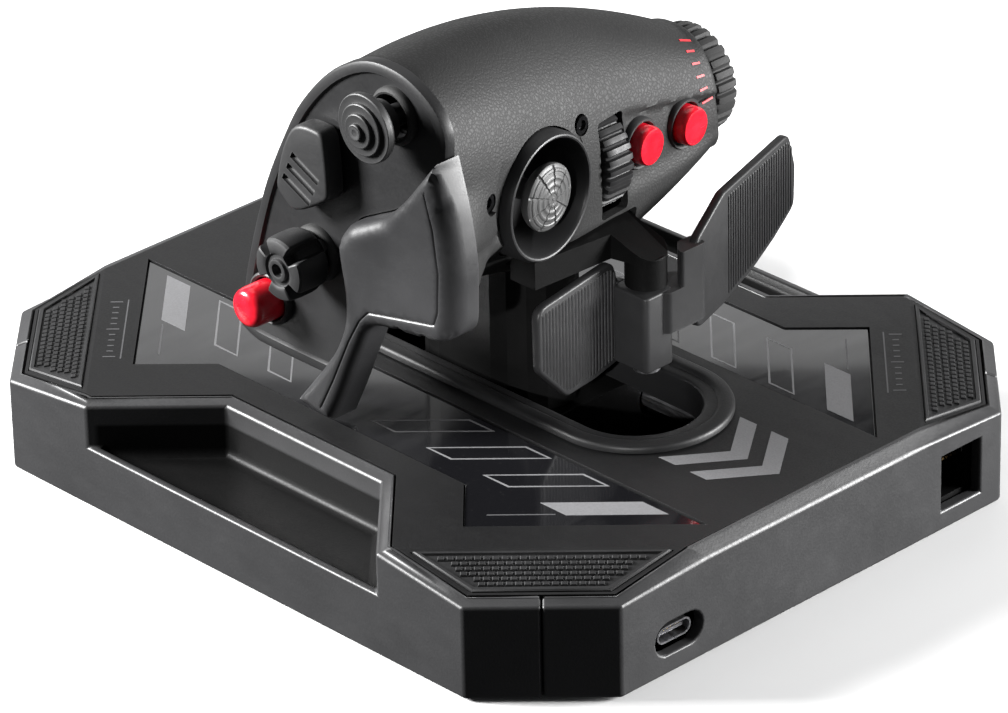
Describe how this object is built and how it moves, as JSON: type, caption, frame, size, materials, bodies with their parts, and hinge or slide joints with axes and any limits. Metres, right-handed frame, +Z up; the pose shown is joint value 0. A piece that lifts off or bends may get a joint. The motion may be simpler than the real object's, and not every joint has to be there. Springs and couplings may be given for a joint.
{
  "type": "throttle quadrant",
  "caption": "Desk throttle quadrant: a sliding aircraft-style grip with thumb hats, mini-stick, wheel, knob and paddle rocker on a wide low base.",
  "frame": {"origin": "on the desk under the centre of the base's footprint", "axes": "+Z up, +Y forward towards the socket wall, +X to the pilot's right, the side of the thumb face"},
  "size_m": [0.15, 0.175, 0.1069],
  "materials": {
    "shell_plastic": "satin dark grey moulded shell, very fine grain",
    "deck_plastic": "satin near-black deck",
    "inlay_gloss": "piano-black window inlay with printed grey outlines",
    "pad_rubber": "textured grip pad",
    "grip_plastic": "leather-like fine grain",
    "saddle_plastic": "smooth satin",
    "control_plastic": "satin control caps",
    "rubber": "matt rubber",
    "red_plastic": "semi-gloss red button caps",
    "steel": "turned steel",
    "bronze": "sintered bronze",
    "board": "solder mask",
    "inner_plastic": "plain moulded plastic"
  },
  "bodies": {
    "base": {"skirt_front": "shell_plastic", "skirt_rear": "shell_plastic", "skirt_left": "shell_plastic", "skirt_right": "shell_plastic", "deck_plate": "deck_plastic", "deck_inlay_left": "inlay_gloss", "deck_inlay_right": "inlay_gloss", "corner_pad_front_left": "pad_rubber", "corner_pad_front_right": "pad_rubber", "corner_pad_rear_left": "pad_rubber", "corner_pad_rear_right": "pad_rubber", "slot_bezel": "shell_plastic", "bottom_cover": "inner_plastic", "base_screw_1": "steel", "base_screw_2": "steel", "base_screw_3": "steel", "base_screw_4": "steel", "rubber_foot_1": "rubber", "rubber_foot_2": "rubber", "rubber_foot_3": "rubber", "rubber_foot_4": "rubber", "usb_socket": "steel", "accessory_jack": "inner_plastic", "main_board": "board", "guide_rail_left": "steel", "guide_rail_right": "steel", "rail_bracket_front": "inner_plastic", "rail_bracket_rear": "inner_plastic"},
    "throttle": {"carriage": "inner_plastic", "linear_bushing_left": "bronze", "linear_bushing_right": "bronze", "throttle_arm": "inner_plastic", "barrel_shell": "grip_plastic", "face_plate": "grip_plastic", "thumb_saddle": "saddle_plastic", "grip_board": "board", "grip_screw_lower": "steel", "grip_screw_upper": "steel", "stick_bezel": "control_plastic", "wheel_axle": "steel", "knob_shaft": "steel", "hinge_block": "inner_plastic", "hinge_pin": "steel", "comm_switch": "inner_plastic", "castle_switch": "inner_plastic"},
    "comm_gimbal": {"comm_gimbal": "bronze"},
    "comm_hat": {"comm_hat": "control_plastic"},
    "castle_gimbal": {"castle_gimbal": "bronze"},
    "castle_hat": {"castle_hat": "control_plastic"},
    "dogfight_slider": {"dogfight_slider": "control_plastic"},
    "uncage_button": {"uncage_button": "red_plastic"},
    "mini_stick_gimbal": {"mini_stick_gimbal": "bronze"},
    "mini_stick": {"mini_stick": "control_plastic"},
    "range_wheel": {"range_wheel": "rubber"},
    "red_button_inner": {"red_button_inner": "red_plastic"},
    "red_button_outer": {"red_button_outer": "red_plastic"},
    "antenna_knob": {"antenna_knob": "control_plastic"},
    "paddle_rocker": {"paddle_rocker": "control_plastic"}
  },
  "joints": [
    {"name": "throttle_slide", "type": "slide", "parent": "base", "child": "throttle", "axis": [0, 1, 0], "range_m": [-0.032, 0.032]},
    {"name": "comm_hat_up_down", "type": "hinge", "parent": "throttle", "child": "comm_gimbal", "pos_m": [0.039, 0.0175, 0.097], "axis": [0, 1, 0], "range_deg": [-7, 7]},
    {"name": "comm_hat_side", "type": "hinge", "parent": "comm_gimbal", "child": "comm_hat", "pos_m": [0.039, 0.0175, 0.097], "axis": [0, 0, 1], "range_deg": [-7, 7]},
    {"name": "dogfight_slide", "type": "slide", "parent": "throttle", "child": "dogfight_slider", "axis": [0, 0.4311, 0.9023], "range_m": [-0.002, 0.002]},
    {"name": "castle_hat_up_down", "type": "hinge", "parent": "throttle", "child": "castle_gimbal", "pos_m": [0.039, -0.0062, 0.0592], "axis": [0, 1, 0], "range_deg": [-6, 6]},
    {"name": "castle_hat_side", "type": "hinge", "parent": "castle_gimbal", "child": "castle_hat", "pos_m": [0.039, -0.0062, 0.0592], "axis": [0, 0, 1], "range_deg": [-6, 6]},
    {"name": "uncage_press", "type": "slide", "parent": "throttle", "child": "uncage_button", "axis": [-1, 0, 0], "range_m": [0, 0.0015]},
    {"name": "mini_stick_up_down", "type": "hinge", "parent": "throttle", "child": "mini_stick_gimbal", "pos_m": [0.01575, 0.01532, 0.0726], "axis": [0.9903, 0.1392, 0], "range_deg": [-10, 10]},
    {"name": "mini_stick_side", "type": "hinge", "parent": "mini_stick_gimbal", "child": "mini_stick", "pos_m": [0.01575, 0.01532, 0.0726], "axis": [0, 0, 1], "range_deg": [-10, 10]},
    {"name": "range_wheel_turn", "type": "hinge", "parent": "throttle", "child": "range_wheel", "pos_m": [-0.0079, 0.0162, 0.0702], "axis": [1, 0, 0], "range_deg": [-50, 50]},
    {"name": "red_inner_press", "type": "slide", "parent": "throttle", "child": "red_button_inner", "axis": [0.1392, -0.9903, 0], "range_m": [0, 0.0015]},
    {"name": "red_outer_press", "type": "slide", "parent": "throttle", "child": "red_button_outer", "axis": [0.1392, -0.9903, 0], "range_m": [0, 0.0015]},
    {"name": "antenna_turn", "type": "hinge", "parent": "throttle", "child": "antenna_knob", "pos_m": [-0.0428, 0.008, 0.071], "axis": [1, 0, 0], "range_deg": [-60, 60]},
    {"name": "paddle_rock", "type": "hinge", "parent": "throttle", "child": "paddle_rocker", "pos_m": [-0.0095, 0.0318, 0.04], "axis": [0, 0, 1], "range_deg": [-12, 12]}
  ]
}
